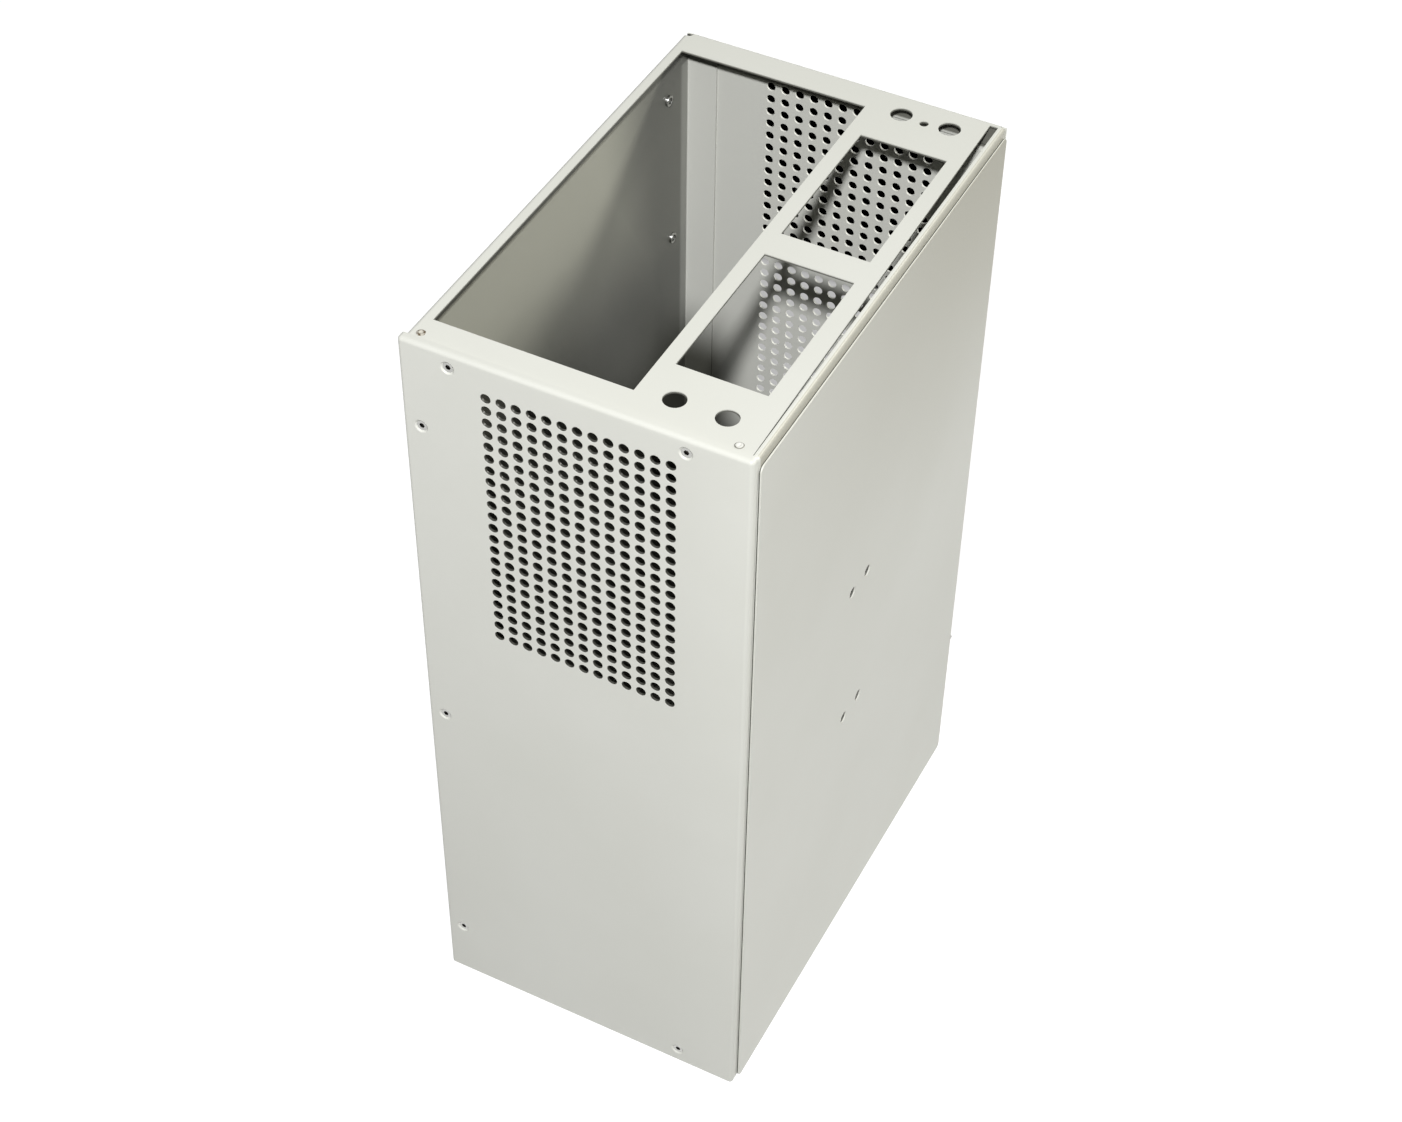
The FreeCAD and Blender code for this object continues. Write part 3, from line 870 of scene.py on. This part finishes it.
# earth stud on the rear, with its washer and nut, local +Z backwards; sizes come from the
# nodes' boxes, as the width across and the length along Y
earth = {
    "threadPitch": 0.00125,
    "threadDepth": 0.0004,
    "crestShare": 0.1,
    "rootShare": 0.5,
    "tipHeight": 0.0003,
    "washerGap": 0.0002,
    "washerEdge": 0.0002,
    "nutGap": 0.00005,
    "nutBoreEdge": 0.0005,
    "nutChamfer": 0.000315,
    "nutFaceShare": 1.03,
    "sides": 36,
}
studLow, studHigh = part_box("earth_stud")
studRadius = (studHigh.z - studLow.z) / 2


def studShape(shape, size):
    pitch, depth = earth["threadPitch"], earth["threadDepth"]
    crest, length = pitch * earth["crestShare"], size.y
    rings = [(studRadius - depth, 0.0)]
    height = pitch
    while height < length - pitch:
        rings += [(studRadius, height - crest), (studRadius, height + crest)]
        rings.append((studRadius - depth, height + pitch * earth["rootShare"]))
        height += pitch
    rings.append((studRadius - depth, length - earth["tipHeight"]))
    rings.append((studRadius - 2 * depth, length))
    turned(shape, rings, earth["sides"], ends="closed")


def washerShape(shape, size):
    radius, bore, thickness = size.x / 2, studRadius + earth["washerGap"], size.y
    edge = earth["washerEdge"]
    rings = [(bore, 0.0), (radius - edge, 0.0), (radius, edge), (radius, thickness - edge)]
    rings += [(radius - edge, thickness), (bore, thickness)]
    turned(shape, rings, earth["sides"], ends="bored")


def nutShape(shape, size):
    bore, height, edge = studRadius + earth["nutGap"], size.y, earth["nutBoreEdge"]
    corner = hexagonRadius(size.x)
    chamfer = earth["nutChamfer"]

    def clipped(angle):
        return min(corner(angle), size.x / 2 * earth["nutFaceShare"])

    rings = [(bore, 0.0), (clipped, 0.0), (corner, chamfer), (corner, height - chamfer)]
    rings += [(clipped, height), (bore + edge, height), (bore, height - edge)]
    turned(shape, rings, earth["sides"], ends="bored")


def earthPiece(name, node, build):
    low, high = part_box(node)
    place = Vector(((low.x + high.x) / 2, low.y, (low.z + high.z) / 2))
    mesh = meshFrom(name, lambda shape: build(shape, high - low))
    mesh.transform(standing(place, (-math.pi / 2, 0, 0)))
    finishedPiece(name, mesh, zincFinish, node)


earthPiece("earthStud", "earth_stud", studShape)
earthPiece("earthWasher", "earth_washer", washerShape)
earthPiece("earthNut", "earth_nut", nutShape)
print("stage 4: fasteners made")

# the sheets and hidden fasteners that keep their own shape; what isn't coated is zinc
coatedNodes = [
    "wrapper",
    "front_panel",
    "rear_panel",
    "bottom_pan",
    "front_post",
    "rear_post",
    "corner_bracket",
    "right_cover",
    "right_corner_rivet",
]
for node, cadPiece in cadNodes.items():
    cadPiece.data.materials.clear()
    cadPiece.data.materials.append(coatFinish if node in coatedNodes else zincFinish)


# floor, lamps and camera
studio = {
    "floorSize": 12.0,
    "floorDrop": 0.0002,
    "floorColour": 0.35,
    "floorSeen": 0.25,
    "floorGlow": 0.88,
    "lampAim": 0.6,
    "keyDirection": (0.43, -1.0, 1.16),
    "keyDistance": 2.6,
    "keyPower": 81.0,
    "keySize": 0.12,
    "keyColour": (1.0, 1.0, 1.0),
    "sideDirection": (0.7, 0.7, 0.55),
    "sideDistance": 3.0,
    "sidePower": 46.0,
    "sideSize": 0.5,
    "sideColour": (1.0, 0.99, 0.93),
    "fillColour": (1.0, 1.0, 0.96),
    "fillStrength": 0.06,
    "backgroundColour": (1.0, 1.0, 1.0),
}
# a painted shadow on the floor behind the part, which its rear holes look out on: grey and then dark, for the
# rays that see the floor directly
floorShadowPatch = {
    "greyEdge": (0.280, 0.340),
    "grey": 0.50,
    "nearEdge": (0.575, 0.592),
    "farEdge": (0.850, 0.820),
    "halfWidth": (0.115, 0.085),
    "middleX": -0.171,
    "middleY": 0.569,
    "slant": 0.43,
}
view = {
    "place": (0.4930, -0.9958, 1.3710),
    "azimuth": 26.612,
    "elevation": 44.811,
    "roll": 0.950,
    "focalLength": 67.935,
    "sensorWidth": 36.0,
    "farthest": 60.0,
}


# 1 for the rays that see the background: camera, glossy and transmission
def seenDirectly(tree):
    outputs = ["Is Camera Ray", "Is Glossy Ray", "Is Transmission Ray"]
    camera, glossy, through = [tree.node("ShaderNodeLightPath", output=ray) for ray in outputs]
    return larger(larger(camera, glossy), through)


def makeFloor():
    material, tree = newMaterial("floorPaper")
    x, y = objectPlace(tree)[:2]
    # painted shadow on the floor, grey near the part and dark farther back
    across = x - floorShadowPatch["middleX"] + (y - floorShadowPatch["middleY"]) * floorShadowPatch["slant"]
    inFloorShadow = fade(tree, absolute(tree, across), floorShadowPatch["halfWidth"])
    inFloorShadow = inFloorShadow * fade(tree, y, floorShadowPatch["farEdge"])
    dark = fade(tree, y, floorShadowPatch["nearEdge"])
    grey = fade(tree, y, floorShadowPatch["greyEdge"]) * floorShadowPatch["grey"]
    clear = 1.0 - inFloorShadow * (grey + dark * (1.0 - grey))
    seen = seenDirectly(tree)
    shade = studio["floorColour"] + seen * (clear * studio["floorSeen"] - studio["floorColour"])
    paper = tree.node("ShaderNodeBsdfDiffuse", {}, {"Color": shade})
    glow = tree.node("ShaderNodeEmission", {}, {"Strength": seen * clear * studio["floorGlow"]})
    both = tree.node("ShaderNodeAddShader", {}, {0: paper, 1: glow})
    tree.node("ShaderNodeOutputMaterial", {}, {"Surface": both})

    def build(shape):
        half = studio["floorSize"] / 2
        corners = [(-half, -half), (half, -half), (half, half), (-half, half)]
        shape.faces.new([shape.verts.new((x, y, -studio["floorDrop"])) for x, y in corners])

    mesh = meshFrom("floor", build)
    mesh.materials.append(material)
    floor = newObject("floor", mesh)


def makeWorld():
    world = bpy.data.worlds.new("studioWorld")
    world.use_nodes = True
    scene.world = world
    tree = Tree(world.node_tree)
    fill = [studio["fillStrength"] * part for part in studio["fillColour"]]
    colour = blendColour(tree, seenDirectly(tree), tuple(fill), studio["backgroundColour"])
    sky = tree.node("ShaderNodeBackground", {}, {"Color": colour, "Strength": 1.0})
    tree.node("ShaderNodeOutputWorld", {}, {"Surface": sky})


def hangLamp(name):
    lamp = bpy.data.lights.new(name, "AREA")
    lamp.shape = "DISK"
    lamp.size = studio[name + "Size"]
    lamp.energy = studio[name + "Power"]
    lamp.color = studio[name + "Colour"]
    holder = newObject(name, lamp)
    towards = Vector(studio[name + "Direction"]).normalized()
    holder.location = Vector((0, 0, topZ * studio["lampAim"])) + towards * studio[name + "Distance"]
    holder.rotation_euler = towards.to_track_quat("Z", "Y").to_euler()


def makeCamera():
    data = bpy.data.cameras.new("camera")
    data.lens = view["focalLength"]
    data.sensor_width = view["sensorWidth"]
    data.sensor_fit = "HORIZONTAL"
    data.clip_end = view["farthest"]
    camera = newObject("camera", data)
    turn = (math.radians(90 - view["elevation"]), 0, math.radians(view["azimuth"]))
    roll = Matrix.Rotation(math.radians(view["roll"]), 4, "Z")
    camera.matrix_world = standing(view["place"], turn) @ roll
    scene.camera = camera


makeFloor()
makeWorld()
hangLamp("key")
hangLamp("side")
makeCamera()
scene.view_settings.view_transform = "Standard"
print("stage 5: studio made")
